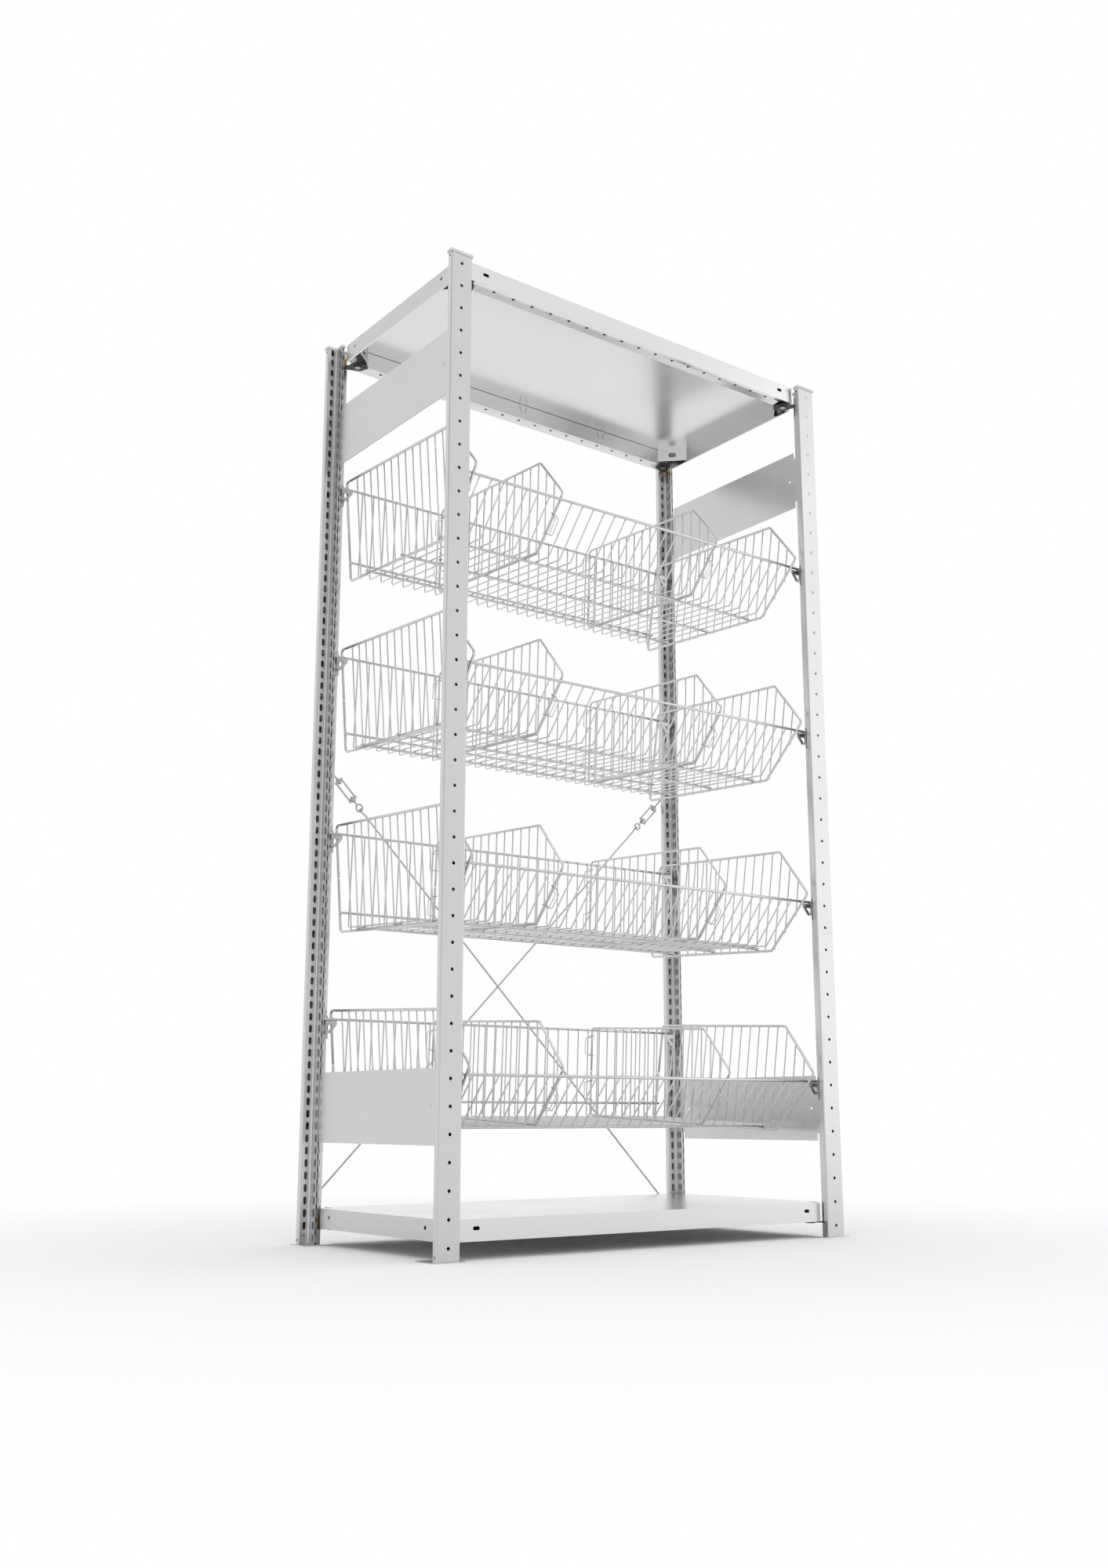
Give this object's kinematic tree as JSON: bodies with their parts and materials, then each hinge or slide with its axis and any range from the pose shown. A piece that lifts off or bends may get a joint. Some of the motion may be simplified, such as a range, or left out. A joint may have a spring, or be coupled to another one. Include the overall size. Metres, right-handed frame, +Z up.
{
  "type": "wire basket shelving unit",
  "caption": "Boltless galvanised shelving bay with slotted uprights, sheet shelves and tilted open-front wire baskets with dividers, hung on hook brackets and cross braced at the rear.",
  "frame": {"origin": "on the floor under the middle of the bay", "axes": "+Z up, +X to the right seen from the open front, +Y to the rear"},
  "size_m": [1.078, 0.5489, 2.002],
  "materials": {
    "galvanised": "galvanised sheet, satin",
    "zinc_wire": "bright zinc plated wire",
    "zinc_bracket": "zinc plated pressing",
    "yellow_zinc": "yellow passivated pressing",
    "dark_plate": "dull zinc pressing",
    "cap_plastic": "moulded light grey plastic"
  },
  "bodies": {
    "frame": {"upright_front_left": "galvanised", "upright_front_right": "galvanised", "upright_rear_left": "galvanised", "upright_rear_right": "galvanised", "cap_front_left": "cap_plastic", "cap_front_right": "cap_plastic", "cap_rear_left": "cap_plastic", "cap_rear_right": "cap_plastic", "foot_front_left": "galvanised", "foot_front_right": "galvanised", "foot_rear_left": "galvanised", "foot_rear_right": "galvanised", "foot_pins": "zinc_bracket", "side_panel_lower_left": "galvanised", "side_panel_lower_right": "galvanised", "side_panel_upper_left": "galvanised", "side_panel_upper_right": "galvanised", "bottom_shelf": "galvanised", "bottom_shelf_clips": "dark_plate", "bottom_shelf_hooks": "yellow_zinc", "top_shelf": "galvanised", "top_shelf_clips": "dark_plate", "top_shelf_hooks": "yellow_zinc", "bottom_hangers": "zinc_bracket", "lower_hangers": "zinc_bracket", "upper_hangers": "zinc_bracket", "top_hangers": "zinc_bracket", "brace_hook_left": "zinc_bracket", "brace_eye_left": "zinc_bracket", "brace_rod_left": "zinc_bracket", "brace_hook_right": "zinc_bracket", "brace_eye_right": "zinc_bracket", "brace_rod_right": "zinc_bracket"},
    "bottom_basket": {"bottom_basket_tray": "zinc_wire", "bottom_basket_left_end": "zinc_wire", "bottom_basket_right_end": "zinc_wire", "bottom_basket_left_divider": "zinc_wire", "bottom_basket_right_divider": "zinc_wire", "bottom_basket_divider_clips": "zinc_wire"},
    "lower_basket": {"lower_basket_tray": "zinc_wire", "lower_basket_left_end": "zinc_wire", "lower_basket_right_end": "zinc_wire", "lower_basket_left_divider": "zinc_wire", "lower_basket_right_divider": "zinc_wire", "lower_basket_divider_clips": "zinc_wire"},
    "upper_basket": {"upper_basket_tray": "zinc_wire", "upper_basket_left_end": "zinc_wire", "upper_basket_right_end": "zinc_wire", "upper_basket_left_divider": "zinc_wire", "upper_basket_right_divider": "zinc_wire", "upper_basket_divider_clips": "zinc_wire"},
    "top_basket": {"top_basket_tray": "zinc_wire", "top_basket_left_end": "zinc_wire", "top_basket_right_end": "zinc_wire", "top_basket_left_divider": "zinc_wire", "top_basket_right_divider": "zinc_wire", "top_basket_divider_clips": "zinc_wire"},
    "turnbuckle_left": {"turnbuckle_left": "zinc_bracket"},
    "turnbuckle_right": {"turnbuckle_right": "zinc_bracket"}
  },
  "joints": [
    {"name": "bottom_basket_lift", "type": "slide", "parent": "frame", "child": "bottom_basket", "axis": [0, 0, 1], "range_m": [0, 0.06]},
    {"name": "lower_basket_lift", "type": "slide", "parent": "frame", "child": "lower_basket", "axis": [0, 0, 1], "range_m": [0, 0.06]},
    {"name": "upper_basket_lift", "type": "slide", "parent": "frame", "child": "upper_basket", "axis": [0, 0, 1], "range_m": [0, 0.06]},
    {"name": "top_basket_lift", "type": "slide", "parent": "frame", "child": "top_basket", "axis": [0, 0, 1], "range_m": [0, 0.06]},
    {"name": "turnbuckle_left_turn", "type": "hinge", "parent": "frame", "child": "turnbuckle_left", "pos_m": [-0.44153, 0.2683, 0.96302], "axis": [0.7099, 0, -0.7043], "continuous": true},
    {"name": "turnbuckle_right_turn", "type": "hinge", "parent": "frame", "child": "turnbuckle_right", "pos_m": [0.44153, 0.2726, 1.01302], "axis": [-0.7099, 0, -0.7043], "continuous": true}
  ]
}
